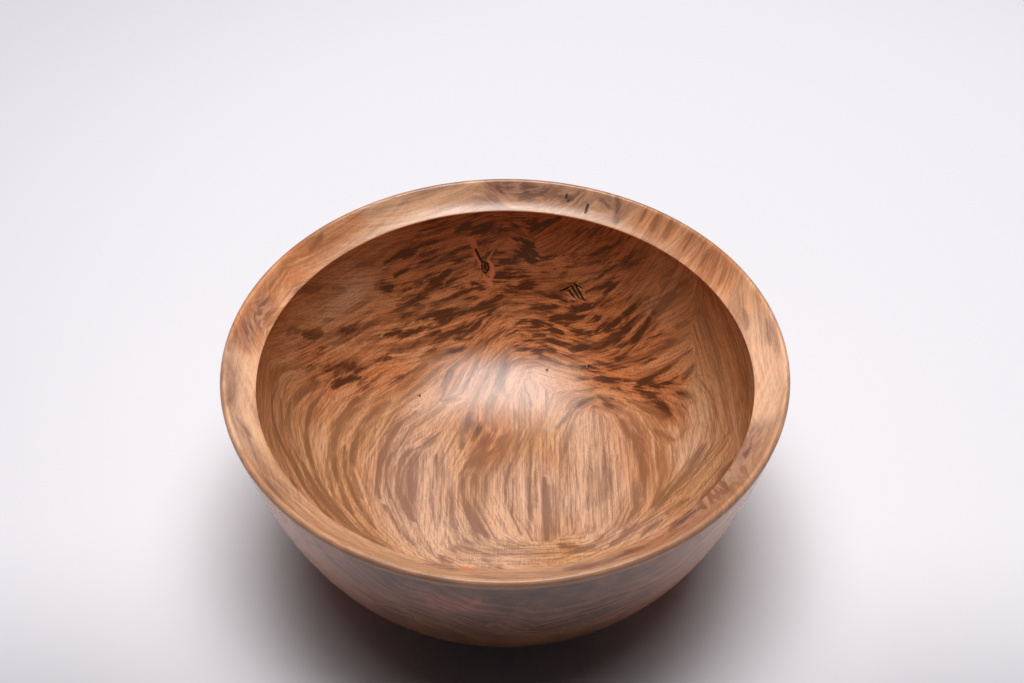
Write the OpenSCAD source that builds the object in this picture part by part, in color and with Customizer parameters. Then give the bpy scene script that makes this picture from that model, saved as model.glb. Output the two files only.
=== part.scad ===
// Turned wooden bowl with an inward-sloping rim, an undercut round interior and a turned foot.
// Millimetres. +Z is up along the turning axis. The origin is the centre of the foot, on the surface the bowl stands on.

/* [Overall] */
// Diameter over the outer edge of the rim
rim_d = 250; // [235:1:265]
// Height from the foot to the top of the rim
bowl_h = 114; // [111:1:118]

/* [Rim] */
// Width of the rim seen from above, from its outer edge to its inner edge
rim_w = 14.5; // [13:0.5:17]
// How far the inner edge of the rim lies below its outer edge
rim_drop = 10; // [8.5:0.5:11]
// Radius of the rounded outer edge of the rim
edge_r = 1.6; // [1.2:0.1:2]
// Slope of the rim face where it leaves the outer edge, in degrees
face_top = 53; // [48:1:56]
// Slope of the rim face where it reaches the inner edge, in degrees
face_low = 24; // [20:1:30]
// Radius of the crisp inner edge of the rim
lip_r = 0.5; // [0.3:0.1:0.8]

/* [Outside wall] */
// Lean of the outside wall just under the rim, in degrees from vertical
wall_lean = 10.3; // [9:0.1:12]
// Length of the upper handle of the wall curve: longer keeps the wall upright further down
wall_top = 95; // [88:1:98]
// Length of the lower handle of the wall curve: longer gives a flatter underside
wall_low = 31; // [26:1:36]
// Rise of the underside where it meets the foot, in degrees from flat
under_rise = 3; // [2:1:8]

/* [Foot] */
// Diameter of the foot
foot_d = 96; // [84:1:104]
// Height of the foot below the underside
foot_h = 5; // [4:0.5:6]
// Width of the ring the bowl stands on
foot_ring = 8; // [6:0.5:11]
// Depth of the shallow dish turned into the foot
foot_dish = 2.5; // [1.5:0.1:3.5]
// Radius of the small cove where the foot meets the underside
foot_cove = 2; // [1:0.1:3]

/* [Inside] */
// How far the inside wall goes back behind the inner edge of the rim
undercut = 1.3; // [0.9:0.1:2]
// Depth of the widest place inside, below the top of the rim
widest_at = 22; // [20:1:25]
// Depth of the middle of the bowl's inside, below the top of the rim
inside_depth = 96; // [92:0.5:97]
// Fullness of the upper inside wall, as a share of its height
full_side = 0.59; // [0.54:0.01:0.6]
// Fullness of the inside bottom, as a share of its radius
full_floor = 0.71; // [0.64:0.01:0.72]

/* [Hidden] */
// Points on each of the long wall curves
curve_n = 40;
// Points on each short curve
short_n = 9;
$fn = 180;

rim_r = rim_d / 2;
foot_r = foot_d / 2;
mouth_r = rim_r - rim_w;
wide_r = mouth_r + undercut;

// A point on a cubic curve with end points a, d and handles b, c
function cubic(a, b, c, d, t) =
    pow(1 - t, 3) * a + 3 * pow(1 - t, 2) * t * b + 3 * (1 - t) * t * t * c + pow(t, 3) * d;
// The points of that curve after its first one, up to its last one
function curve(a, b, c, d, n) = [for (i = [1:n]) cubic(a, b, c, d, i / n)];
// The points of a round of radius r about c, from angle p to angle q, both included
function round_pts(c, r, p, q, n) = [for (i = [0:n]) c + r * [cos(p + (q - p) * i / n), sin(p + (q - p) * i / n)]];

// Rounded outer edge, walked from the outside wall over the top to the rim face
edge_c = [rim_r - edge_r, bowl_h - edge_r];
edge_pts = round_pts(edge_c, edge_r, -wall_lean, 90 + face_top, 14);
edge_out = edge_pts[0];
edge_in = edge_pts[14];

// Inner edge of the rim, walked from the rim face round to the underside
lip_under = 35;
lip_c = [mouth_r + lip_r, bowl_h - rim_drop];
lip_pts = round_pts(lip_c, lip_r, 90 + face_low, 180 + lip_under, 8);
lip_top = lip_pts[0];
lip_low = lip_pts[8];

// Concave rim face between the two edges
face_l = norm(edge_in - lip_top) / 3;
face_pts = curve(edge_in,
                 edge_in + face_l * [-cos(face_top), -sin(face_top)],
                 lip_top + face_l * [cos(face_low), sin(face_low)],
                 lip_top, short_n);

// Inside: back behind the inner edge, then down the wall to the middle
wide = [wide_r, bowl_h - widest_at];
floor_mid = [0, bowl_h - inside_depth];
cove_l = (lip_low[1] - wide[1]) / 3;
cove_pts = curve(lip_low,
                 lip_low + cove_l * [sin(lip_under) * 0.7, -cos(lip_under) * 0.7],
                 wide + [0, cove_l * 1.4],
                 wide, short_n);
inside_pts = curve(wide,
                   wide - [0, full_side * (inside_depth - widest_at)],
                   floor_mid + [full_floor * wide_r, 0],
                   floor_mid, curve_n);

// Outside wall from the rounded edge down to the cove above the foot
under = [foot_r + foot_cove, foot_h];
wall_pts = curve(edge_out,
                 edge_out + wall_top * [-sin(wall_lean), -cos(wall_lean)],
                 under + wall_low * [cos(under_rise), sin(under_rise)],
                 under, curve_n);

// Foot: cove, outer corner, ring, and the dish inside the ring
cove_foot = round_pts([foot_r + foot_cove, foot_h - foot_cove], foot_cove, 90, 180, 6);
ring_in = foot_r - foot_ring;
foot_pts = concat([for (i = [1:6]) cove_foot[i]],
                  [[foot_r, 0.8], [foot_r - 0.8, 0], [ring_in + 0.6, 0], [ring_in, 0.6]],
                  curve([ring_in, 0.6],
                        [ring_in - 1.5, foot_dish * 0.9],
                        [ring_in * 0.6, foot_dish],
                        [0, foot_dish], 12));

profile = concat(edge_pts, face_pts, [for (i = [1:8]) lip_pts[i]], cove_pts, inside_pts,
                 [for (i = [12:-1:1]) foot_pts[9 + i]],
                 [for (i = [9:-1:0]) foot_pts[i]],
                 [for (i = [curve_n - 1:-1:0]) wall_pts[i]]);

module bowl() {
    color([0.72, 0.50, 0.36])
        rotate_extrude()
            polygon(profile);
}

bowl();
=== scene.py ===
import bpy, bmesh, math
import numpy as np
from mathutils import Vector, Matrix
from mathutils.bvhtree import BVHTree


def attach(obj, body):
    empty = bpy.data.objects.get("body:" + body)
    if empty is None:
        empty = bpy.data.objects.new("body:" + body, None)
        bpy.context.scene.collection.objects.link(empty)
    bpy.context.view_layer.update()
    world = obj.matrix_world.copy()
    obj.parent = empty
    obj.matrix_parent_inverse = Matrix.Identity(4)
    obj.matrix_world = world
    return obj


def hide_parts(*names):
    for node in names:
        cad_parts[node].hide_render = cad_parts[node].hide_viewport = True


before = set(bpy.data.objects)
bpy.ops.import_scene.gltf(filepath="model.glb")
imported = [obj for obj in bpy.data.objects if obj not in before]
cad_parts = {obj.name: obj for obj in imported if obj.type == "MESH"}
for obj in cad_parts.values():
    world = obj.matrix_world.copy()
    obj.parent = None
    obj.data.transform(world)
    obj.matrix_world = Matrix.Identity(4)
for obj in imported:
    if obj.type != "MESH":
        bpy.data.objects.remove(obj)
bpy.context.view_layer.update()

# ---------------------------------------------------------------- sizes (metres), the same as the construction
R = 0.125
H = 0.114
RIM_W, RIM_DROP, EDGE_R = 0.0145, 0.010, 0.0016
FACE_TOP, FACE_LOW = math.radians(53), math.radians(24)
LIP_R, LIP_UNDER = 0.0005, 35
WALL_LEAN, WALL_TOP, WALL_LOW, UNDER_RISE = math.radians(10.3), 0.095, 0.031, math.radians(3)
FOOT_R, FOOT_H, FOOT_RING, FOOT_DISH, FOOT_COVE = 0.048, 0.005, 0.008, 0.0025, 0.002
UNDERCUT, WIDEST_AT, INSIDE_DEPTH, FULL_SIDE, FULL_FLOOR = 0.0013, 0.022, 0.096, 0.59, 0.71
MOUTH_R = R - RIM_W
WIDE_R = MOUTH_R + UNDERCUT


def pt(*v):
    return np.array(v, float)


def curve(a, b, c, d, n):
    t = np.linspace(0, 1, n + 1)[1:, None]
    return (1 - t) ** 3 * a + 3 * (1 - t) ** 2 * t * b + 3 * (1 - t) * t * t * c + t ** 3 * d


def arc(c, r, p, q, n):
    t = np.radians(np.linspace(p, q, n + 1))
    return np.c_[c[0] + r * np.cos(t), c[1] + r * np.sin(t)]


def even(p, step):
    """The curve through points p again, at an even spacing near step."""
    s = np.r_[0, np.cumsum(np.hypot(*np.diff(p, axis=0).T))]
    n = max(2, int(round(s[-1] / step)))
    t = np.linspace(0, s[-1], n + 1)
    return np.c_[np.interp(t, s, p[:, 0]), np.interp(t, s, p[:, 1])]


# ---------------------------------------------------------------- the turned profile
edge = arc((R - EDGE_R, H - EDGE_R), EDGE_R, -10.3, 90 + 53, 14)[::2]
lip = arc((MOUTH_R + LIP_R, H - RIM_DROP), LIP_R, 90 + 24, 180 + LIP_UNDER, 5)
fl = np.linalg.norm(edge[-1] - lip[0]) / 3
face = curve(edge[-1], edge[-1] + fl * pt(-math.cos(FACE_TOP), -math.sin(FACE_TOP)),
             lip[0] + fl * pt(math.cos(FACE_LOW), math.sin(FACE_LOW)), lip[0], 13)[:-1]
wide = pt(WIDE_R, H - WIDEST_AT)
cl = (lip[-1][1] - wide[1]) / 3
u = math.radians(LIP_UNDER)
cove = curve(lip[-1], lip[-1] + cl * pt(math.sin(u) * 0.7, -math.cos(u) * 0.7), wide + pt(0, cl * 1.4), wide, 10)
mid = pt(0, H - INSIDE_DEPTH)
inner = np.vstack([[wide], curve(wide, wide - pt(0, FULL_SIDE * (INSIDE_DEPTH - WIDEST_AT)),
                                 mid + pt(FULL_FLOOR * WIDE_R, 0), mid, 400)])
inner = even(inner, 0.00127)[1:]
under = pt(FOOT_R + FOOT_COVE, FOOT_H)
wall = np.vstack([[edge[0]], curve(edge[0], edge[0] + WALL_TOP * pt(-math.sin(WALL_LEAN), -math.cos(WALL_LEAN)),
                                   under + WALL_LOW * pt(math.cos(UNDER_RISE), math.sin(UNDER_RISE)), under, 300)])
wall = even(wall, 0.0028)
foot = arc((FOOT_R + FOOT_COVE, FOOT_H - FOOT_COVE), FOOT_COVE, 90, 180, 5)[1:]
ring_in = FOOT_R - FOOT_RING
foot = np.vstack([foot, [[FOOT_R, 0.0008], [FOOT_R - 0.00025, 0.00025], [FOOT_R - 0.0008, 0], [FOOT_R - 0.003, 0],
                         [ring_in + 0.003, 0], [ring_in + 0.0006, 0], [ring_in + 0.0002, 0.0002], [ring_in, 0.0006]],
                  curve(pt(ring_in, 0.0006), pt(ring_in - 0.0015, FOOT_DISH * 0.9),
                        pt(ring_in * 0.6, FOOT_DISH), pt(0, FOOT_DISH), 14)])

# rings from the middle of the inside, up and over the rim, down the outside to the middle of the foot
chain = [(p, "in") for p in inner[::-1]] + [(p, "in") for p in np.vstack([[wide], cove[::-1][1:]])]
chain += [(p, "rim") for p in lip[::-1][1:]] + [(p, "rim") for p in face[::-1]] + [(p, "rim") for p in edge[::-1]]
chain += [(p, "out") for p in wall[1:]] + [(p, "out") for p in foot]


def segs(r, zone):
    if zone == "out":
        return 256 if r > 0.050 else 128 if r > 0.016 else 64 if r > 0.008 else 32
    return 512 if r > 0.055 else 256 if r > 0.027 else 128 if r > 0.0135 else 64 if r > 0.0065 else 32


verts, faces, ring_at = [], [], []
for (r, z), zone in chain:
    n = 1 if r < 1e-6 else segs(r, zone)
    first = len(verts)
    for j in range(n):
        a = 2 * math.pi * j / n - math.pi / 2
        rr = r * 0.9998  # stays inside the box of the construction, whose circle has 180 sides
        verts.append((rr * math.cos(a), rr * math.sin(a), z) if n > 1 else (0.0, 0.0, z))
    ring_at.append((first, n))


def strip(a, na, b, nb):
    """Faces between ring a (outer, na points) and ring b; na is nb or twice nb."""
    out = []
    for j in range(nb):
        if na == nb:
            k = (j + 1) % nb
            out.append((a + j, a + k, b + k, b + j))
        else:
            p, q, s = a + 2 * j, a + 2 * j + 1, a + (2 * j + 2) % na
            k = (j + 1) % nb
            out += [(p, q, b + j), (q, b + k, b + j), (q, s, b + k)]
    return out


for (a, na), (b, nb) in zip(ring_at[:-1], ring_at[1:]):
    if na == 1:
        faces += [(a, b + j, b + (j + 1) % nb) for j in range(nb)]
    elif nb == 1:
        faces += [(b, a + (j + 1) % na, a + j) for j in range(na)]
    elif na >= nb:
        faces += [f[::-1] for f in strip(a, na, b, nb)]
    else:
        faces += strip(b, nb, a, na)

me = bpy.data.meshes.new("turned_bowl")
me.from_pydata(verts, [], faces)
me.update()

# ---------------------------------------------------------------- camera
CAM = Vector((0.003, -0.445875, 0.44275 + H))
CAM_TILT = math.radians(90 - 44.37)
cam_data = bpy.data.cameras.new("camera")
cam_data.lens, cam_data.sensor_width = 50, 36
cam_data.dof.use_dof = False
cam = bpy.data.objects.new("camera", cam_data)
cam.location, cam.rotation_euler = CAM, (CAM_TILT, 0, 0)
bpy.context.scene.collection.objects.link(cam)
bpy.context.scene.camera = cam
CAM_M = Matrix.Rotation(CAM_TILT, 3, "X")

bm = bmesh.new()
bm.from_mesh(me)
bmesh.ops.recalc_face_normals(bm, faces=bm.faces)
bvh = BVHTree.FromBMesh(bm)


def on_bowl(px, py):
    """The point of the bowl that is seen at this place of the 1024 x 683 picture."""
    d = CAM_M @ Vector(((px - 512) / 1422.2, -(py - 341.5) / 1422.2, -1))
    hit = bvh.ray_cast(CAM, d.normalized())
    return hit[0]


# finer mesh where the wood has a knot, cracks and beetle holes
def refine(px, py, rad, cuts):
    c = on_bowl(px, py)
    pick = [f for f in bm.faces if (f.calc_center_median() - c).length < rad]
    es = list({e for f in pick for e in f.edges})
    bmesh.ops.subdivide_edges(bm, edges=es, cuts=cuts, use_grid_fill=True)


refine(480, 255, 0.0085, 3)
refine(486, 268, 0.0075, 3)
refine(574, 292, 0.0075, 3)
for px, py in ((420, 396), (547, 370), (588, 366)):
    refine(px, py, 0.0018, 3)
bmesh.ops.triangulate(bm, faces=[f for f in bm.faces if len(f.verts) > 4])
bm.normal_update()
bm.to_mesh(me)
bm.free()
me.update()
for p in me.polygons:
    p.use_smooth = True

bowl = bpy.data.objects.new("turned_bowl", me)
bpy.context.scene.collection.objects.link(bowl)
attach(bowl, "root")
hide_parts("bowl")
print("faces", len(me.polygons), "verts", len(me.vertices), "tris", sum(len(p.vertices) - 2 for p in me.polygons))

# ---------------------------------------------------------------- floor and light
fm = bpy.data.meshes.new("floor")
fm.from_pydata([(-3, -3, 0), (3, -3, 0), (3, 3, 0), (-3, 3, 0)], [], [(0, 1, 2, 3)])
floor = bpy.data.objects.new("floor", fm)
bpy.context.scene.collection.objects.link(floor)
m = bpy.data.materials.new("floor_paper")
m.use_nodes = True
b = m.node_tree.nodes["Principled BSDF"]
b.inputs["Roughness"].default_value = 0.9
b.inputs["Specular IOR Level"].default_value = 0.1
fm.materials.append(m)


def floor_node(kind, **sets):
    n = m.node_tree.nodes.new(kind)
    for k, v in sets.items():
        setattr(n, k, v)
    return n


# painted shade: the paper's colour darkens a little towards the front and the far corners, where the light falls off
ft = floor_node("ShaderNodeTexCoord")
fs = floor_node("ShaderNodeSeparateXYZ")
fd = floor_node("ShaderNodeVectorMath", operation="DISTANCE")
front = floor_node("ShaderNodeMapRange")
fall = floor_node("ShaderNodeMath", operation="POWER")
corner = floor_node("ShaderNodeMapRange", interpolation_type="SMOOTHSTEP")
both = floor_node("ShaderNodeMath", operation="MULTIPLY")
shade = floor_node("ShaderNodeMix", data_type="RGBA")
fl_ = m.node_tree.links
fl_.new(ft.outputs["Object"], fs.inputs[0])
fl_.new(ft.outputs["Object"], fd.inputs[0])
fd.inputs[1].default_value = (0.14, 0.15, 0)
away = floor_node("ShaderNodeMapRange", interpolation_type="SMOOTHSTEP")
absx = floor_node("ShaderNodeMath", operation="ABSOLUTE")
edge_ = floor_node("ShaderNodeMath", operation="MULTIPLY_ADD")
for n, v in ((front, (-0.10, 0.0, 1.0, 0.0)), (corner, (0.30, 0.66, 1.0, 0.86)), (away, (0.04, 0.20, 0.2, 1.0))):
    for name, x in zip(("From Min", "From Max", "To Min", "To Max"), v):
        n.inputs[name].default_value = x
fl_.new(fs.outputs[1], front.inputs["Value"])
fl_.new(fs.outputs[0], absx.inputs[0])
fl_.new(absx.outputs[0], away.inputs["Value"])
fl_.new(fd.outputs["Value"], corner.inputs["Value"])
cut = floor_node("ShaderNodeMath", operation="MULTIPLY")
fl_.new(front.outputs["Result"], fall.inputs[0])
fall.inputs[1].default_value = 1.8
fl_.new(fall.outputs[0], cut.inputs[0])
fl_.new(away.outputs["Result"], cut.inputs[1])
fl_.new(cut.outputs[0], edge_.inputs[0])
edge_.inputs[1].default_value = -0.25
edge_.inputs[2].default_value = 1.0
fl_.new(edge_.outputs[0], both.inputs[0])
fl_.new(corner.outputs["Result"], both.inputs[1])
fl_.new(both.outputs[0], shade.inputs["Factor"])
shade.inputs[6].default_value = (0.0, 0.0, 0.02, 1)
shade.inputs[7].default_value = (0.83, 0.81, 0.845, 1)
fl_.new(shade.outputs[2], b.inputs["Base Color"])

# a softbox that is brighter in its middle
for name, size, deep, power, down in (("softbox", 1.65, 1.30, 38.0, 0.0), ("softbox_middle", 0.95, 0.76, 20.0, 0.01)):
    key = bpy.data.lights.new(name, "AREA")
    key.shape, key.size, key.size_y, key.energy = "RECTANGLE", size, deep, power
    key_ob = bpy.data.objects.new(name, key)
    key_ob.location = (0.03, 0.21, 2.2 - down)
    key_ob.rotation_euler = (Vector((0, 0, 0.05)) - key_ob.location).to_track_quat("-Z", "Y").to_euler()
    bpy.context.scene.collection.objects.link(key_ob)
world = bpy.data.worlds.new("studio")
world.use_nodes = True
world.node_tree.nodes["Background"].inputs[0].default_value = (0.9, 0.9, 1, 1)
world.node_tree.nodes["Background"].inputs[1].default_value = 0.020
bpy.context.scene.world = world
bpy.context.scene.view_settings.view_transform = "Standard"

# ---------------------------------------------------------------- the figure of the wood
# Each line is one mark in the wood: its kind, its half width in mm, its strength from 0 to 1,
# and the places that it runs through, as places of the 1024 x 683 picture, put on the bowl by on_bowl().
# d dark figure, l light figure, f only a direction of the grain, k near black, r red halo
FIGURE = """
d 2.4 .9 303,290 320,289
d 2.0 .7 332,288 345,289
d 3.4 1 287,332 300,331
d 3.8 1 303,334 322,332
d 2.2 .6 323,321 334,318
d 3.0 .9 337,334 350,329 362,322
d 2.2 .7 364,327 379,322
d 2.8 .9 385,335 402,330 420,321
d 1.8 .7 332,344 357,336
d 2.0 .6 368,341 380,336
d 3.0 1 388,353 400,349 412,343
d 2.4 .9 412,343 426,338 440,331
d 3.6 1 335,377 346,367 360,359
d 2.6 .9 356,373 372,364 390,358
d 3.0 .9 332,387 342,382 353,377
d 2.6 .7 346,383 360,376
d 2.4 .6 295,371 312,368 329,363
d 1.8 .55 408,373 427,365
d 1.8 .6 420,358 436,349
d 2.6 .8 397,304 413,301 429,298
d 2.6 .8 400,293 422,284
d 3.0 .8 425,288 450,271
d 4.0 .7 405,258 436,241
d 4.0 .7 376,285 391,289
d 3.4 .6 358,267 374,265
d 3.0 .8 431,306 450,297
d 2.4 .7 400,317 425,307
d 2.8 .9 415,322 432,316 450,310
d 2.4 .8 425,330 450,320
d 2.6 .6 385,262 410,250
d 2.4 .6 395,276 425,262
d 2.6 .7 440,262 466,248
l 6.5 .6 326,301 345,299 361,292
d 2.8 .9 400,336 425,328 447,319 467,311
d 2.4 .9 431,306 452,297 472,289
d 2.6 .9 400,351 413,345 426,338
d 2.2 .6 426,341 446,335 466,327
d 2.8 .8 433,357 448,353 465,348
d 2.6 .8 455,340 468,332 480,322
d 2.8 1 481,308 491,303 501,297
d 2.2 .8 461,313 476,307 489,302
d 1.8 .7 489,313 499,306 509,301
d 3.2 .8 472,283 483,288
d 3.0 .7 417,298 441,284
d 2.4 .7 447,284 468,272
d 3.0 .6 452,262 470,256
d 3.2 .7 494,276 512,272 530,268
d 2.4 .8 502,287 518,285 534,281
d 2.2 .8 507,292 528,291
d 4.6 .8 477,232 489,226
d 5.0 .8 530,232 548,222
d 5.5 .9 516,240 527,250 532,260
d 3.0 .7 500,262 518,262
d 4.0 .7 455,232 470,224
l 2.4 .7 538,243 552,231 566,217
l 2.4 .5 520,228 533,238
l 2.0 .6 489,249 498,244
l 2.4 .6 498,257 511,256
l 2.4 .4 535,289 560,285
d 1.6 .8 584,282 602,276 616,266 631,258
d 1.6 .7 586,293 598,288 614,283
d 1.6 .6 603,294 621,282
d 1.7 .7 560,313 585,310 597,302
d 5.0 .8 553,320 567,318 581,317
d 1.8 .8 513,325 527,321 547,325 563,332
d 2.6 .9 550,328 563,333
d 2.6 .7 522,335 544,335
d 2.2 .8 550,339 570,344
d 3.4 .4 512,349 527,347
d 4.0 .4 533,353 546,357 559,363
d 2.2 .8 570,365 588,366 600,370
d 3.0 .8 579,346 599,345 612,343
d 1.6 .5 502,297 525,294 553,297 585,308 599,299
d 1.6 .5 500,306 530,303 560,308
d 3.0 .9 624,316 637,306 649,298
d 3.4 .9 652,312 664,303 675,294
d 2.6 .6 659,284 666,276 672,269
d 3.0 .5 677,287 687,281
d 3.4 .9 597,333 610,327 621,320
d 3.4 .9 634,340 642,329 649,318
d 3.4 .9 613,345 622,338 631,330
d 2.8 .8 570,350 590,349 611,344
d 3.0 .7 566,329 580,332 594,338
d 2.6 .7 574,341 590,341
d 2.4 .6 540,346 556,352
d 2.6 .7 586,325 600,317
d 2.2 .6 604,338 616,334
d 2.6 .6 675,327 688,322
d 2.6 .6 649,348 675,340
d 1.9 .75 639,382 660,372 675,362 690,350
d 3.0 .6 682,379 693,366
d 1.9 .8 575,379 602,379 629,382
d 2.0 .7 639,383 649,378
d 1.6 .7 611,388 621,389
d 3.6 .5 636,389 645,393 656,394
d 3.0 .5 650,388 664,391
d 3.2 .5 646,400 654,401 664,408
d 2.4 .5 662,408 671,416
d 3.0 .5 676,392 688,397
d 2.6 .85 598,396 613,400
d 1.8 .8 616,402 625,407
d 2.8 .85 556,428 563,420 573,409 583,402 593,398
d 2.0 .8 602,404 613,408
d 4.2 .6 622,421 630,430 638,440
d 1.8 .7 636,440 638,452
d 1.6 .8 641,439 644,459 645,478 643,498
d 1.4 .45 590,446 589,478 588,510
d 2.4 .4 604,466 608,498
d 2.2 .55 639,489 636,510
d 3.4 .6 654,506 664,495 675,485
d 3.6 .5 675,484 690,466 704,446
d 1.8 .8 666,514 677,506 688,499
d 1.6 .7 641,535 652,527 662,520
d 1.7 .6 610,545 624,535 636,524
d 3.0 .9 560,545 572,548 584,549
d 1.8 .7 584,548 594,546
d 1.8 .6 596,541 602,535
d 1.6 .55 279,383 272,402 275,427 284,449 295,467 307,491 326,514 342,527
d 2.4 .75 316,380 301,393 289,408 288,425 293,444 304,467 316,489 332,508 347,523 365,538
d 4.0 .75 317,380 302,393
d 2.0 .85 326,392 314,406 307,421 307,441 311,459 321,485 337,508 355,529 371,540 384,547
d 2.4 .9 358,398 347,411 338,425 334,441 333,459 338,478 343,498 352,513
d 1.7 .7 344,446 343,459 347,478 356,498 365,513 375,528
d 2.4 .65 390,401 378,408 365,421 358,436 353,452 351,467 356,482 361,498
d 2.0 .75 416,411 403,421 395,431 385,449 380,467 377,485 380,498
d 1.7 .6 419,447 410,450 401,462 398,478 400,498 407,512 413,521
d 1.2 .4 412,460 409,480 411,502
d 1.2 .45 392,452 386,475 390,498
d 1.6 .7 384,505 393,520 403,534 414,545
d 1.6 .6 339,514 352,527 377,542 391,550 408,558
d 3.0 .8 461,448 464,438 467,425 471,413
d 2.6 .6 471,441 477,433 483,425
d 2.6 .8 466,468 478,460 494,450
d 1.8 .75 468,465 463,482 464,500 470,516 479,532
d 1.2 .4 474,474 472,492 476,512 485,530
d 1.6 .5 476,519 484,531 492,541
d 2.0 .7 499,441 507,435
d 2.6 .5 494,452 503,440
d 2.6 .5 515,410 521,427
d 1.5 .6 527,430 515,454 507,476 506,495 512,514 522,536
d 1.8 .5 546,430 547,450 547,475
d 1.8 .6 545,478 545,505 547,540
f 2 1 500,560 548,563 590,557
f 2 1 470,556 510,561 548,562
d 1.4 .4 604,448 606,475 603,500
d 1.4 .3 612,455 613,475 610,495
d 1.6 .35 574,425 563,455 560,490 566,525
d 2.4 .55 636,440 641,470 637,505 624,530
d 3.0 .40 520,430 512,470 514,510
d 2.4 .40 531,440 528,480 532,520
d 1.4 .35 436,455 429,490 436,525
d 1.4 .35 452,470 450,500 456,530
d 1.6 .40 376,430 364,465 370,505
d 2.0 .40 345,425 326,455 332,490
d 2.0 .35 655,430 675,440 690,425
d 2.2 .35 700,380 715,410 712,440
d 2.4 .45 282,400 285,425 296,455
d 2.4 .45 292,480 308,508 330,530
d 3.0 .40 490,395 486,415 494,430
d 3.4 .45 505,365 500,380 506,395
d 2.6 .40 478,360 470,375 466,392
d 2.6 .40 452,370 446,385 444,400
d 1.5 .5 536,467 536,508
d 2.6 .6 424,446 438,434
d 1.8 .7 525,388 529,397 531,406
d 1.6 .4 490,409 497,397
d 1.8 .6 440,556 452,562
d 2.0 .5 482,559 504,569
d 2.2 .45 440,400 464,399
f 2 1 560,450 560,520
f 2 1 430,470 432,540
f 2 1 600,430 600,530
f 2 1 620,440 620,500
f 2 1 580,420 578,480
f 2 1 720,376 724,408
f 2 1 700,330 712,370 730,420
f 2 1 740,400 741,450
f 2 1 268,380 268,420
f 2 1 545,235 566,217
f 2 1 600,330 650,285 690,240
f 2 1 620,300 680,250
f 2 1 600,240 630,215
f 2 1 400,240 470,215
f 2 1 330,270 380,250
f 2 1 270,350 300,343
f 2 1 560,560 620,537 680,495 725,445
f 2 1 330,530 400,561 480,570
f 2 1 650,440 655,500
f 2 1 680,430 682,460
f 2 1 530,345 545,340 560,345
f 2 1 470,380 488,350 500,335
f 2 1 500,400 510,380
d 1.0 .4 228,405 230,390
d 1.6 .5 228,350 234,330
d 1.4 .5 250,352 244,338 240,328
d 2.4 .5 309,250 316,243 322,236
d 1.6 .3 268,290 276,276
d 2.0 .4 240,420 250,436
d 1.6 .4 262,474 272,488 284,500
d 4.5 .7 500,188 525,189 548,191
d 3.0 .6 520,198 545,202
d 2.0 .5 560,196 575,200
d 2.0 .6 600,200 612,210
d 2.4 1 616,197 617,206 615,222
l 1.6 .8 492,186 500,196 506,204
l 1.6 .8 553,188 546,198 540,206
l 1.6 .8 583,194 577,204 570,212
l 2.0 .8 604,212 620,216
d 1.8 .4 640,222 646,210
d 2.0 .6 652,230 658,216
d 2.4 .6 664,238 672,222
d 2.0 .5 684,250 692,234
d 2.0 .5 700,266 708,250
d 1.8 .4 718,286 726,268
d 2.0 .5 744,310 748,330
d 1.8 .4 766,320 770,345
d 5.0 .9 744,446 735,462
d 4.5 .9 730,466 718,480
d 4.0 .8 712,488 702,500
d 3.5 .6 690,512 676,522
l 2.4 .9 727,480 737,490
l 2.4 .9 715,492 724,501
d 3.5 .7 565,570 600,564 640,548
d 3.0 .4 430,563 455,570
"""
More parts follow.
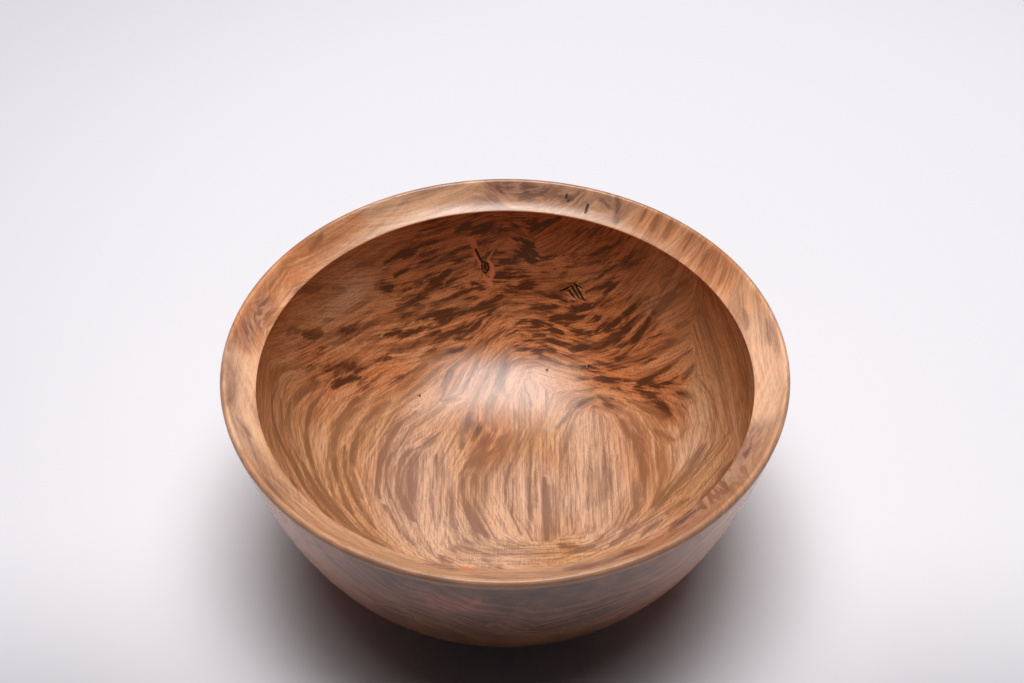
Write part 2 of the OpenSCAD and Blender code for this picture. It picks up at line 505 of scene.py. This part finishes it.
# Broad washes, written the same way: half width in mm, strength, places. w is darker, redder wood, p pale pink
# wood, v purple-brown wood on the rim, o orange-red wood, g olive wood, s a soft shade through which the grain
# shows, and u the red-brown patch on the outside
WASH = """
s 8 .9 480,466 477,500 485,532
s 7 .55 410,456 404,480 410,508
s 7 .9 474,428 484,440 474,456
s 6 .5 552,488 552,530
s 9 .2 596,452 594,476 598,500
s 7 .3 566,450 566,490 572,520
s 8 .35 436,462 432,490 440,520
s 7 .35 370,440 366,470 374,505
s 8 .4 676,486 692,466 700,450
s 8 .5 650,400 668,408 690,396
w 9 .8 468,232 484,258 500,274
p 34 .9 420,460 440,520 500,540
p 32 .9 520,490 590,500 600,450
p 26 .7 400,500 430,545 500,560
p 16 .6 345,300 350,285
p 22 .5 340,215 400,200 460,192
p 18 .95 762,330 775,380 768,420
p 16 .95 236,360 236,400 240,440
w 22 .35 470,350 540,335 600,360
w 14 .30 400,330 440,345
o 14 .9 720,270 700,252
o 14 .9 248,330 262,305
o 12 .6 290,262 310,248
o 26 .9 320,395 350,375 410,345
o 28 .95 590,340 640,370 670,340
o 18 .8 490,288 560,284
o 16 .5 640,420 650,450
v 9 1 245,340 255,322 266,304
v 9 .5 228,400 230,370
v 9 .3 690,240 720,275
o 12 .9 244,340 266,302 304,258 352,222
o 14 .9 650,222 700,250 722,275
o 14 .9 640,548 700,512 716,495
p 18 .5 694,425 694,455
p 18 .6 600,538 650,528
o 14 .8 284,270 300,256
o 16 .7 655,400 680,425
o 16 .6 470,400 500,420 490,450
o 12 .6 720,285 700,262
o 18 .5 640,470 620,430
v 13 .95 500,190 545,192 575,198
v 9 .7 610,206 618,212
v 14 .5 560,572 620,558 680,528
v 15 .85 690,518 715,495 735,470 755,435
v 9 .35 480,577 560,576
g 16 .5 312,425 318,480
g 18 .35 690,395 718,450 690,495
g 14 .3 350,515 400,553
g 12 .35 600,440 602,500
g 16 .3 470,550 570,555
g 16 .3 372,350 420,372
u 13 1 436,601 452,606 472,606
w 33 .95 446,224 520,218 600,230
w 28 .75 410,258 520,256 620,268
w 20 .8 480,286 560,300 620,312
w 20 .6 400,288 440,290
w 18 .5 350,325 400,322 480,318
w 24 .95 546,326 600,332 640,340
w 18 .65 310,350 340,374 396,368
w 15 .85 600,372 640,382 672,384
w 13 .4 640,392 662,404 676,412
w 9 .45 476,424 486,438
w 16 .5 440,330 500,326 540,340
w 16 .28 440,382 500,376 556,386
w 10 .3 655,400 665,415
w 8 .35 745,340 748,420
w 9 .35 575,405 615,402
"""
KNOT = """
k .75 1 475.5,249 478,255 482,262
k 1.7 .62 485,264.5 485.5,270.5
k .55 1 482.5,262 488,264 488.5,270 485.5,274 482,270 482,263
k .70 1 568,290 574,298
k .75 1 571,286 579,299
k .75 1 575,285 584,301
k .50 .9 559,292 571,286.7
k .50 .9 573,283 582,289
k .9 1 569,191 567,198 570,204
k .8 1 589,203 585,213
k .5 .8 550,259 556,256
k .5 .8 558,258 564,255
k .5 .8 551,271 557,268
k .75 1 420,395.6 420,396.4
k .75 1 547,369.6 547,370.4
k .75 1 588,365.6 588,366.4
r 1.4 .9 460,567 476,571
r 2.6 1 470,238 473,243 475,248
r 1.1 .8 474,252 479,262 482,270
r 1.6 1 488,260 492,266 493,274 490,280
r 1.7 1 484,277 489,281 492,286
r 1.0 .6 494,250 490,256 487,260
"""

prof = np.array([p for p, _ in chain])
prof_zone = np.array([{"in": 0, "rim": 1, "out": 2}[z] for _, z in chain])
prof_s = np.r_[0, np.cumsum(np.hypot(*np.diff(prof, axis=0).T))]
nv = len(me.vertices)
co = np.zeros(nv * 3, np.float32)
me.vertices.foreach_get("co", co)
co = co.reshape(-1, 3)
rad = np.hypot(co[:, 0], co[:, 1])


def along_profile(r, z):
    """Distance along the profile, and the zone, of points at radius r and height z."""
    best = np.zeros(len(r), int)
    for i in range(0, len(r), 20000):
        q = (r[i:i + 20000, None] - prof[None, :, 0]) ** 2 + (z[i:i + 20000, None] - prof[None, :, 1]) ** 2
        best[i:i + 20000] = q.argmin(1)
    return prof_s[best], prof_zone[best]


zone = along_profile(rad, co[:, 2])[1]


def smooth(points, step):
    """A smooth line through the points, in steps of about this many pixels."""
    p = np.array(points, float)
    if len(p) < 3:
        n = max(2, int(np.hypot(*(p[-1] - p[0])) / step) + 1)
        return p[0] + (p[-1] - p[0]) * np.linspace(0, 1, n)[:, None]
    q = np.vstack([2 * p[0] - p[1], p, 2 * p[-1] - p[-2]])
    out = [p[0]]
    for i in range(1, len(q) - 2):
        a, b_, c, d = q[i - 1:i + 3]
        n = max(1, int(np.hypot(*(c - b_)) / step))
        for t in np.linspace(0, 1, n + 1)[1:]:
            out.append(0.5 * (2 * b_ + (c - a) * t + (2 * a - 5 * b_ + 4 * c - d) * t * t + (3 * b_ - a - 3 * c + d) * t ** 3))
    return np.array(out)


def read_marks(text):
    marks = []
    for line in text.strip().splitlines():
        w = line.split()
        px = smooth([[float(v) for v in xy.split(",")] for xy in w[3:]], 3.5)
        p3 = [list(p) for p in (on_bowl(*xy) for xy in px) if p is not None]
        if len(p3) < 2:
            print("mark off the bowl", line)
            continue
        marks.append((w[0], float(w[1]) / 1000, float(w[2]), np.array(p3)))
    return marks


marks = read_marks(FIGURE)
fine_marks = read_marks(KNOT)
washes = read_marks(WASH)


def lay(field, mark, taper=True):
    """Adds a mark to a field of the vertices, keeping whichever is more."""
    kind, w, a, p = mark
    z0 = along_profile(np.hypot(p[:1, 0], p[:1, 1]), p[:1, 2])[1][0]
    lo_, hi_ = p.min(0) - w, p.max(0) + w
    idx = np.nonzero((zone == z0) & ((co > lo_) & (co < hi_)).all(1))[0]
    if not len(idx):
        return
    v = co[idx]
    seg_l = np.linalg.norm(np.diff(p, axis=0), axis=1)
    cum = np.r_[0, np.cumsum(seg_l)] / max(seg_l.sum(), 1e-9)
    best = np.zeros(len(idx))
    for i in range(len(p) - 1):
        d = p[i + 1] - p[i]
        t = np.clip(((v - p[i]) @ d) / max(d @ d, 1e-12), 0, 1)
        dist = np.linalg.norm(v - (p[i] + t[:, None] * d), axis=1)
        u_ = cum[i] + t * (cum[i + 1] - cum[i])
        we = w * (0.55 + 0.45 * np.sqrt(np.clip(np.sin(np.pi * u_), 0, 1))) if taper else w
        e = np.clip(dist / (we * (1.0 if p[:, 1].mean() > 0 else 1.3)), 0, 1)
        best = np.maximum(best, a * (1 - e) * (1 + 0.6 * e))
    field[idx] = np.maximum(field[idx], best)


dark = np.zeros(nv)
light = np.zeros(nv)
black = np.zeros(nv)
red = np.zeros(nv)
for mk in marks:
    if mk[0] == "d":
        lay(dark, mk)
    elif mk[0] == "l":
        lay(light, mk)
for mk in fine_marks:
    lay(black if mk[0] == "k" else red, mk)
wash, blush, warm, purple, patch, green, shade_ = (np.zeros(nv) for _ in range(7))
for kind, w, a, p in washes:
    wash_to = {"w": wash, "p": blush, "o": warm, "v": purple, "u": patch, "g": green, "s": shade_}[kind]
    idx = np.nonzero({"w": zone == 0, "s": zone == 0, "v": zone == 1, "u": zone == 2}.get(kind, zone < 2))[0]
    best = np.full(len(idx), 9.0)
    for i in range(len(p) - 1):
        d = p[i + 1] - p[i]
        t = np.clip(((co[idx] - p[i]) @ d) / max(d @ d, 1e-12), 0, 1)
        best = np.minimum(best, np.linalg.norm(co[idx] - (p[i] + t[:, None] * d), axis=1))
    v = a * np.clip(1 - (best / w) ** 2, 0, 1) ** 2
    wash_to[idx] = wash_to[idx] + v - wash_to[idx] * v

# ---- streaks that follow the grain, worked out on the inside and rim rolled out flat
S_TOP = prof_s[prof_zone == 1].max()
GRID = 620
HALF = S_TOP + 0.004
cell = 2 * HALF / GRID


def flat(p):
    """Points of the inside and rim on the rolled-out plane."""
    r = np.hypot(p[:, 0], p[:, 1])
    s, _ = along_profile(r, p[:, 2])
    k = np.where(r > 1e-6, s / np.maximum(r, 1e-6), 1)
    return np.c_[p[:, 0] * k, p[:, 1] * k]


at, way, wt = [], [], []
for kind, w, a, p in marks:
    q = flat(p)
    d = np.diff(q, axis=0)
    n = np.linalg.norm(d, axis=1)
    ok = n > 1e-6
    at.append(((q[1:] + q[:-1]) / 2)[ok])
    ang = np.arctan2(d[ok, 1], d[ok, 0])
    way.append(np.c_[np.cos(2 * ang), np.sin(2 * ang)])
    wt.append(np.full(ok.sum(), 0.6 if kind != "f" else 1.4))
at, way, wt = np.vstack(at), np.vstack(way), np.concatenate(wt)
NC = 96
cx = (np.arange(NC) + 0.5) / NC * 2 * HALF - HALF
gx, gy = np.meshgrid(cx, cx)
gp = np.c_[gx.ravel(), gy.ravel()]
d2 = ((gp[:, None, :] - at[None]) ** 2).sum(2)
ww = wt / (d2 + 0.004 ** 2) ** 1.6
field2 = (ww @ way) / ww.sum(1)[:, None]
field2 = field2.reshape(NC, NC, 2)


def sample(img, x, y):
    """Bilinear samples of a square image over the rolled-out plane."""
    n = img.shape[0]
    fx = np.clip((x + HALF) / (2 * HALF) * n - 0.5, 0, n - 1.001)
    fy = np.clip((y + HALF) / (2 * HALF) * n - 0.5, 0, n - 1.001)
    ix, iy = fx.astype(int), fy.astype(int)
    tx, ty = fx - ix, fy - iy
    if img.ndim == 3:
        tx, ty = tx[..., None], ty[..., None]
    return ((img[iy, ix] * (1 - tx) + img[iy, ix + 1] * tx) * (1 - ty)
            + (img[iy + 1, ix] * (1 - tx) + img[iy + 1, ix + 1] * tx) * ty)


def box_blur(img, k):
    if k < 1:
        return img
    for ax in (0, 1):
        pad = [(k, k) if i == ax else (0, 0) for i in (0, 1)]
        c = np.cumsum(np.pad(img, pad, mode="edge"), axis=ax)
        c = np.take(c, range(2 * k, c.shape[ax]), ax) - np.concatenate(
            [np.zeros_like(np.take(c, [0], ax)), np.take(c, range(0, c.shape[ax] - 2 * k - 1), ax)], ax)
        img = c / (2 * k + 1)
    return img


def streaks(seed, blur, length, step=0.0008, jit=0.0):
    """Noise drawn out along the grain, as a square image with mean 0 and deviation 1."""
    rs = np.random.RandomState(seed)
    img = rs.normal(size=(GRID, GRID))
    for k in blur:
        img = box_blur(img, k)
    img = img / img.std()
    c = (np.arange(GRID) + 0.5) * cell - HALF
    x0, y0 = np.meshgrid(c, c)
    acc = sample(img, x0, y0)
    for sgn in (1, -1):
        x, y = x0.copy(), y0.copy()
        px_, py_ = None, None
        for i in range(int(length / step)):
            t = sample(field2, x, y)
            ang = 0.5 * np.arctan2(t[..., 1], t[..., 0])
            dx, dy = np.cos(ang), np.sin(ang)
            if px_ is not None:
                flip = np.sign(dx * px_ + dy * py_)
                flip[flip == 0] = 1
                dx, dy = dx * flip, dy * flip
            else:
                dx, dy = dx * sgn, dy * sgn
            x, y = x + dx * step, y + dy * step
            px_, py_ = dx, dy
            acc = acc + sample(img, x, y) * (1 - (i + 1) * step / length)
    return (acc - acc.mean()) / acc.std()


top = zone < 2
q = flat(co[top])
coarse = np.zeros(nv)
bands = np.zeros(nv)
coarse[top] = sample(streaks(5, (1, 1, 1), 0.010, 0.0014), q[:, 0], q[:, 1])
bands[top] = sample(streaks(23, (3, 3), 0.032, 0.0024), q[:, 0], q[:, 1])
coarse = np.clip(0.5 + coarse * 0.22, 0, 1)
bands = np.clip(0.5 + bands * 0.22, 0, 1)
# the outside is darker where the ends of the grain show, at the front and the back
out = zone == 2
rad = np.hypot(co[:, 0], co[:, 1])
ends = np.abs(co[:, 1]) / np.maximum(rad, 1e-4)
wash[out] = (0.12 + 0.50 * np.clip(ends, 0, 1) ** 2.5)[out] * np.clip(rad[out] / 0.03, 0, 1)
outer = out.astype(float)
# painted light: on the outside the colour is lighter at the left and right sides, a painted reflection of the bright
# floor, and darker towards the foot, a painted shade under the bowl; on the rim the left and right are a little
# lighter
side = (1 - np.clip(ends, 0, 1) ** 2) * (zone > 0)
side[~out] = side[~out] ** 4
side[out] = np.sqrt(side[out]) * 1.5 * np.clip(rad[out] / 0.125, 0, 1) ** 2.5 - 1.0 * np.clip((0.118 - rad[out]) / 0.02, 0, 1)


def attribute(name, data, colour=False):
    if colour:
        at_ = me.attributes.new(name, "FLOAT_COLOR", "POINT")
        at_.data.foreach_set("color", np.c_[data, np.ones(nv)].astype(np.float32).ravel())
    else:
        at_ = me.attributes.new(name, "FLOAT", "POINT")
        at_.data.foreach_set("value", data.astype(np.float32))


attribute("figure_dark", dark)
attribute("figure_light", light)
attribute("figure_black", black)
attribute("figure_red", red)
attribute("grain_coarse", coarse)
attribute("grain_bands", bands)
attribute("figure_wash", wash)
attribute("outside", outer)
attribute("figure_blush", blush)
attribute("figure_warm", warm)
attribute("figure_purple", purple + patch)
attribute("rim_zone", (zone == 1).astype(float))
attribute("painted_side_light", side)
attribute("figure_olive", green)
attribute("figure_shade", shade_)


def attribute3(name, xy):
    at_ = me.attributes.new(name, "FLOAT_VECTOR", "POINT")
    data = np.zeros((nv, 3), np.float32)
    data[top, :2] = xy
    at_.data.foreach_set("vector", data.ravel())


# the way of the grain (as twice its angle) and the rolled-out place, for streaks finer than the mesh
way_at = sample(field2, q[:, 0], q[:, 1])
attribute3("grain_way", way_at / np.maximum(np.linalg.norm(way_at, axis=1), 1e-6)[:, None])
attribute3("rolled_out", q)

# ---------------------------------------------------------------- wood material
wood = bpy.data.materials.new("figured_wood_oiled")
wood.use_nodes = True
nt = wood.node_tree
bsdf = nt.nodes["Principled BSDF"]


def link(a, b):
    nt.links.new(a, b)


def put(sock, v):
    if hasattr(v, "is_linked"):
        link(v, sock)
    else:
        sock.default_value = v


def attr(name, colour=False):
    n = nt.nodes.new("ShaderNodeAttribute")
    n.attribute_name = name
    return n.outputs["Color" if colour else "Fac"]


def calc(op, a, b=None, c=None, clamp=False):
    n = nt.nodes.new("ShaderNodeMath")
    n.operation, n.use_clamp = op, clamp
    for i, v in enumerate((a, b, c)):
        if v is not None:
            put(n.inputs[i], v)
    return n.outputs[0]


def ramp(v, lo_, hi_, a=0.0, b=1.0, kind="SMOOTHSTEP"):
    n = nt.nodes.new("ShaderNodeMapRange")
    n.interpolation_type = kind
    put(n.inputs["Value"], v)
    n.inputs["From Min"].default_value, n.inputs["From Max"].default_value = lo_, hi_
    n.inputs["To Min"].default_value, n.inputs["To Max"].default_value = a, b
    return n.outputs["Result"]


def mix(fac, a, b, how="MIX"):
    n = nt.nodes.new("ShaderNodeMix")
    n.data_type, n.blend_type = "RGBA", how
    put(n.inputs["Factor"], fac)
    put(n.inputs[6], a)
    put(n.inputs[7], b)
    return n.outputs[2]


def noise(scale, detail=3, rough=0.55, dist=0.0, off=(0, 0, 0)):
    """Noise over the solid wood; scale is how many features per metre along X, Y and Z."""
    mp = nt.nodes.new("ShaderNodeMapping")
    mp.inputs["Scale"].default_value = scale
    mp.inputs["Location"].default_value = off
    link(coords, mp.inputs["Vector"])
    n = nt.nodes.new("ShaderNodeTexNoise")
    n.inputs["Scale"].default_value = 1
    n.inputs["Detail"].default_value = detail
    n.inputs["Roughness"].default_value = rough
    n.inputs["Distortion"].default_value = dist
    link(mp.outputs[0], n.inputs["Vector"])
    return n.outputs["Fac"]


coords = nt.nodes.new("ShaderNodeTexCoord").outputs["Object"]
a_dark, a_light = attr("figure_dark"), attr("figure_light")
a_black, a_red = attr("figure_black"), attr("figure_red")
a_coarse, a_bands, a_wash = attr("grain_coarse"), attr("grain_bands"), attr("figure_wash")
n_fibre = noise((1500, 70, 1500), 2, 0.6)
n_speck = noise((1300, 1300, 1300), 2, 0.6, off=(3, 1, 2))
n_cloud = noise((28, 14, 28), 3, 0.5, 0.3, off=(5, 2, 1))
n_mid = noise((260, 90, 260), 3, 0.6, 0.4, off=(1, 7, 3))


def swing(v, k):
    """A 0 to 1 value as a swing about zero, k from end to end."""
    return calc("MULTIPLY", calc("SUBTRACT", v, 0.5), k)


def total(*terms):
    out_ = terms[0]
    for t_ in terms[1:]:
        out_ = calc("ADD", out_, t_)
    return out_


def near(a, k, c):
    """A 0 to 1 value as a swing about zero whose size is k times another value plus c."""
    return calc("MULTIPLY", calc("SUBTRACT", a, 0.5), calc("MULTIPLY_ADD", a_wash, k, c))


def grain_noise(kc, kb, kp, detail, rough, off):
    """Crisp lines along the grain: noise looked up by the streak values, with a little of the place."""
    cb = nt.nodes.new("ShaderNodeCombineXYZ")
    link(calc("MULTIPLY", a_coarse, kc), cb.inputs[0])
    link(calc("MULTIPLY", a_bands, kb), cb.inputs[1])
    va = nt.nodes.new("ShaderNodeVectorMath")
    va.operation = "MULTIPLY_ADD"
    link(coords, va.inputs[0])
    va.inputs[1].default_value = (kp, kp, kp)
    link(cb.outputs[0], va.inputs[2])
    n = nt.nodes.new("ShaderNodeTexNoise")
    n.inputs["Scale"].default_value = 1
    n.inputs["Detail"].default_value = detail
    n.inputs["Roughness"].default_value = rough
    mp = nt.nodes.new("ShaderNodeVectorMath")
    mp.inputs[1].default_value = off
    link(va.outputs[0], mp.inputs[0])
    link(mp.outputs[0], n.inputs["Vector"])
    return n.outputs["Fac"]


def attr3(name):
    n = nt.nodes.new("ShaderNodeAttribute")
    n.attribute_name = name
    return n.outputs["Vector"]


NDIR = 8
way_v, rolled_v = attr3("grain_way"), attr3("rolled_out")
share = []
for k in range(NDIR):
    dt = nt.nodes.new("ShaderNodeVectorMath")
    dt.operation = "DOT_PRODUCT"
    link(way_v, dt.inputs[0])
    dt.inputs[1].default_value = (math.cos(2 * math.pi * k / NDIR), math.sin(2 * math.pi * k / NDIR), 0)
    share.append(calc("POWER", calc("MAXIMUM", dt.outputs["Value"], 0.0), 6.0))
spread = calc("SQRT", calc("MAXIMUM", total(*[calc("MULTIPLY", s_, s_) for s_ in share]), 0.01))


def along_grain(across, along, detail, rough, seed):
    """Streaks that follow the grain at any fineness: a drawn-out noise for each of eight ways, by its share."""
    terms = []
    for k in range(NDIR):
        mp = nt.nodes.new("ShaderNodeMapping")
        mp.vector_type = "TEXTURE"
        mp.inputs["Rotation"].default_value = (0, 0, math.pi * k / NDIR)
        mp.inputs["Scale"].default_value = (1 / along, 1 / across, 1)
        mp.inputs["Location"].default_value = (0.31 * k + seed, 0.17 * k - seed, 0)
        link(rolled_v, mp.inputs["Vector"])
        n = nt.nodes.new("ShaderNodeTexNoise")
        n.noise_dimensions = "2D"
        n.inputs["Scale"].default_value = 1
        n.inputs["Detail"].default_value = detail
        n.inputs["Roughness"].default_value = rough
        n.inputs["Distortion"].default_value = 0.3
        link(mp.outputs[0], n.inputs["Vector"])
        terms.append(calc("MULTIPLY", calc("SUBTRACT", n.outputs["Fac"], 0.5), share[k]))
    return calc("DIVIDE", total(*terms), spread)


s_long = along_grain(210, 15, 4, 0.62, 0.7)
s_mid = along_grain(300, 58, 3, 0.6, 1.9)
s_fine = along_grain(1000, 60, 2, 0.65, 2.3)
s_line = along_grain(520, 13, 3, 0.65, 3.1)

a_out = attr("outside")
# growth layers round the heart of the tree, which lay along Y above the bowl
sp = nt.nodes.new("ShaderNodeSeparateXYZ")
link(coords, sp.inputs[0])
gx_ = calc("SUBTRACT", sp.outputs[0], 0.035)
gz_ = calc("SUBTRACT", sp.outputs[2], 0.20)
heart = calc("SQRT", calc("ADD", calc("MULTIPLY", gx_, gx_), calc("MULTIPLY", gz_, gz_)))
wob = noise((22, 9, 22), 3, 0.55, 0.2, off=(9, 4, 2))
ring = nt.nodes.new("ShaderNodeTexNoise")
ring.noise_dimensions = "1D"
ring.inputs["Scale"].default_value = 1
ring.inputs["Detail"].default_value = 3
ring.inputs["Roughness"].default_value = 0.6
link(calc("ADD", calc("MULTIPLY", heart, 260), calc("MULTIPLY", wob, 9)), ring.inputs["W"])
n_ring = ring.outputs["Fac"]
n_patch = noise((75, 30, 75), 4, 0.6, 0.6, off=(2, 9, 6))
g_lines = grain_noise(8, 9, 60, 4, 0.65, (0, 0, 0))

a_blush, a_warm, a_purple, a_rim = attr("figure_blush"), attr("figure_warm"), attr("figure_purple"), attr("rim_zone")
quiet = calc("SUBTRACT", 1.0, calc("MULTIPLY", a_rim, 0.45))

# soft bands, and over them the crisp dark streaks of the far wall
torn = total(calc("MULTIPLY", n_mid, 1.3), calc("MULTIPLY", s_mid, 1.6), 0.32)
a_torn = calc("MULTIPLY", a_dark, torn)
d1 = total(calc("MULTIPLY", a_torn, calc("MULTIPLY_ADD", a_wash, -0.3, 1.35)), calc("MULTIPLY", a_wash, 0.10),
           calc("MULTIPLY", attr("figure_shade"), 0.70),
           near(a_coarse, 0.6, 0.2), near(a_bands, 0.1, 0.8),
           calc("MULTIPLY", s_long, calc("MULTIPLY", quiet, calc("MULTIPLY_ADD", a_wash, 0.4, 1.6))),
           calc("MULTIPLY", s_line, calc("MULTIPLY", quiet, calc("MULTIPLY_ADD", a_wash, 0.1, 1.2))),
           calc("MULTIPLY", s_mid, calc("MULTIPLY_ADD", a_wash, 2.0, 0.15)),
           calc("MULTIPLY", s_fine, calc("MULTIPLY_ADD", a_wash, 0.7, 0.25)),
           swing(g_lines, 0.3), swing(n_mid, 0.2), swing(n_speck, 0.2), swing(n_fibre, 0.35),
           calc("MULTIPLY", a_light, -0.7),
           calc("MULTIPLY", a_out, total(swing(n_ring, 1.7), swing(n_patch, 2.6), 0.30)))
mask = ramp(d1, -0.35, 0.95)
d2 = total(calc("MULTIPLY", a_torn, calc("MULTIPLY_ADD", a_wash, 0.7, 0.40)), calc("MULTIPLY", a_wash, 0.22),
           near(a_coarse, 0.8, 0.2), calc("MULTIPLY", s_mid, calc("MULTIPLY_ADD", a_wash, 2.6, 0.5)),
           calc("MULTIPLY", s_fine, calc("MULTIPLY_ADD", a_wash, 1.8, 0.6)),
           swing(n_mid, 0.3), swing(n_speck, 0.35), calc("MULTIPLY", a_light, -0.6))
mask2 = calc("MULTIPLY", ramp(d2, 0.10, 1.0), ramp(a_wash, 0.0, 0.5, 0.25, 0.90))

honey = (0.64, 0.30, 0.135, 1)
amber = (0.57, 0.25, 0.102, 1)
olive = (0.48, 0.285, 0.115, 1)
rust = (0.53, 0.165, 0.053, 1)
base = mix(ramp(n_cloud, 0.38, 0.62), honey, amber)
base = mix(ramp(n_patch, 0.50, 0.70, 0, 0.5), base, olive)
base = mix(calc("MULTIPLY", a_blush, 0.9), base, (0.79, 0.51, 0.36, 1))
base = mix(calc("MULTIPLY", a_rim, 0.40), base, (0.67, 0.375, 0.22, 1))
base = mix(calc("MULTIPLY", attr("figure_olive"), 0.75), base, (0.55, 0.32, 0.14, 1))
base = mix(calc("MULTIPLY", a_warm, 0.8), base, (0.56, 0.19, 0.068, 1))
base = mix(ramp(a_wash, 0.03, 0.75, 0, 0.95, "LINEAR"), base, rust)
base = mix(ramp(s_long, -0.02, -0.16, 0, 0.35), base, mix(a_wash, (0.76, 0.44, 0.26, 1), (0.60, 0.22, 0.08, 1)))
base = mix(ramp(s_line, -0.02, -0.16, 0, 0.30), base, mix(a_wash, (0.80, 0.50, 0.33, 1), (0.60, 0.22, 0.08, 1)))
base = mix(ramp(s_mid, 0.02, -0.14, 0, 0.30), base, mix(a_wash, (0.74, 0.38, 0.20, 1), (0.64, 0.25, 0.10, 1)))
brown = mix(calc("MAXIMUM", a_blush, a_rim), (0.25, 0.112, 0.052, 1), (0.26, 0.136, 0.094, 1))
brown = mix(a_warm, brown, (0.27, 0.10, 0.042, 1))
brown = mix(a_wash, brown, (0.185, 0.054, 0.019, 1))
brown = mix(a_out, brown, mix(ramp(a_wash, 0.25, 0.58), (0.35, 0.155, 0.10, 1), (0.075, 0.029, 0.016, 1)))
base = mix(calc("MULTIPLY", a_out, 0.9), base, mix(ramp(a_wash, 0.25, 0.6), (0.64, 0.30, 0.19, 1), (0.195, 0.077, 0.040, 1)))
base = mix(calc("MULTIPLY", a_out, calc("MULTIPLY", a_purple, 0.9)), base, (0.42, 0.15, 0.10, 1))
base = mix(calc("MULTIPLY", ramp(s_fine, 0.05, 0.13, 0, 0.50), quiet), base, brown)
base = mix(calc("MULTIPLY", ramp(s_line, 0.06, 0.11, 0, 0.40), calc("SUBTRACT", quiet, calc("MULTIPLY", a_out, 0.5))), base, brown)
base = mix(calc("MULTIPLY", ramp(n_fibre, 0.42, 0.70, 0, 0.55), quiet), base, brown)
base = mix(calc("MULTIPLY", ramp(n_fibre, 0.42, 0.25, 0, 0.25), calc("SUBTRACT", 1.0, a_out)), base,
           mix(a_wash, (0.80, 0.50, 0.33, 1), (0.66, 0.28, 0.12, 1)))
col = mix(calc("MULTIPLY", mask, 0.90), base, brown)
col = mix(calc("MULTIPLY", a_out, calc("MULTIPLY", a_purple, 0.75)), col, mix(mask, (0.48, 0.15, 0.095, 1), (0.21, 0.064, 0.040, 1)))
col = mix(calc("MULTIPLY", a_rim, calc("MULTIPLY", a_purple, 0.75)), col,
          mix(ramp(s_mid, -0.08, 0.10), (0.37, 0.19, 0.13, 1), (0.14, 0.064, 0.048, 1)))
col = mix(ramp(total(swing(n_fibre, 0.9), s_fine, swing(n_patch, 0.8)), -0.35, 0.35, 0.62, 0.0, "LINEAR"), col,
          mix(1.0, col, (0.70, 0.66, 0.64, 1), "MULTIPLY"))
col = mix(ramp(total(swing(n_fibre, 0.9), calc("MULTIPLY", s_fine, -1.0), swing(n_cloud, 0.8)), 0.05, 0.45, 0.0, 0.6, "LINEAR"), col,
          mix(1.0, col, (1.45, 1.42, 1.38, 1), "MULTIPLY"))
# the colour is scaled up by the side attribute: painted reflection at the left and right of the outside, painted
# shade towards its foot
bright = nt.nodes.new("ShaderNodeVectorMath")
bright.operation = "SCALE"
link(col, bright.inputs[0])
link(calc("MULTIPLY_ADD", attr("painted_side_light"), 0.38, 1.14), bright.inputs["Scale"])
col = mix(mask2, bright.outputs[0], (0.085, 0.027, 0.012, 1))
col = mix(ramp(a_red, 0.10, 0.7, 0, 0.85), col, (0.66, 0.21, 0.10, 1))
col = mix(ramp(a_black, 0.22, 0.6, 0, 0.95), col, (0.014, 0.009, 0.006, 1))
# the rounded outer edge of the rim is browner and less shiny
ln = nt.nodes.new("ShaderNodeVectorMath")
ln.operation = "LENGTH"
flat_xy = nt.nodes.new("ShaderNodeVectorMath")
flat_xy.operation = "MULTIPLY"
flat_xy.inputs[1].default_value = (1, 1, 0)
link(coords, flat_xy.inputs[0])
link(flat_xy.outputs[0], ln.inputs[0])
a_edge = calc("MULTIPLY", ramp(ln.outputs["Value"], 0.1228, 0.1240), ramp(sp.outputs[2], 0.1095, 0.1115))
col = mix(calc("MULTIPLY", a_edge, calc("ADD", swing(n_patch, 1.2), 0.42)), col, (0.22, 0.09, 0.05, 1))
link(col, bsdf.inputs["Base Color"])
link(total(calc("MULTIPLY", mask, 0.05), swing(n_fibre, 0.10), calc("MULTIPLY", a_black, 0.3),
           calc("MULTIPLY", a_edge, 0.15), 0.165), bsdf.inputs["Roughness"])
bsdf.inputs["Specular IOR Level"].default_value = 0.35
bump = nt.nodes.new("ShaderNodeBump")
bump.inputs["Strength"].default_value = 0.12
bump.inputs["Distance"].default_value = 0.0003
link(total(n_fibre, calc("MULTIPLY", n_speck, 0.4), calc("MULTIPLY", a_black, -1.0)), bump.inputs["Height"])
link(bump.outputs[0], bsdf.inputs["Normal"])
me.materials.append(wood)

# ---------------------------------------------------------------- knot, cracks and pinholes go into the wood
nrm = np.zeros(nv * 3, np.float32)
me.vertices.foreach_get("normal", nrm)
depth = 0.0007 * np.clip((black - 0.15) / 0.6, 0, 1) * (zone == 0)
me.vertices.foreach_set("co", (co - nrm.reshape(-1, 3) * depth[:, None]).astype(np.float32).ravel())
me.update()

# one map for baking: the inside and rim rolled out in one disc, the outside and foot in another
loop_v = np.zeros(len(me.loops), int)
me.loops.foreach_get("vertex_index", loop_v)
f_start, f_size = np.zeros(len(me.polygons), int), np.zeros(len(me.polygons), int)
me.polygons.foreach_get("loop_start", f_start)
me.polygons.foreach_get("loop_total", f_size)
below = (np.add.reduceat((zone[loop_v] == 2).astype(int), f_start) == f_size)
below = np.repeat(below, f_size)
s_at = along_profile(np.hypot(co[:, 0], co[:, 1]), co[:, 2])[0]
turn = np.arctan2(co[:, 1], co[:, 0])[loop_v]
s_loop = np.where(below, prof_s[-1] - s_at[loop_v], s_at[loop_v])
reach = np.where(below, s_loop[below].max(), s_loop[~below].max())
cen = np.where(below, 0.706, 0.294)
uv = np.c_[cen + 0.288 * s_loop / reach * np.cos(turn), cen + 0.288 * s_loop / reach * np.sin(turn)]
lay_uv = me.uv_layers.new(name="OFBake")
lay_uv.data.foreach_set("uv", uv.astype(np.float32).ravel())
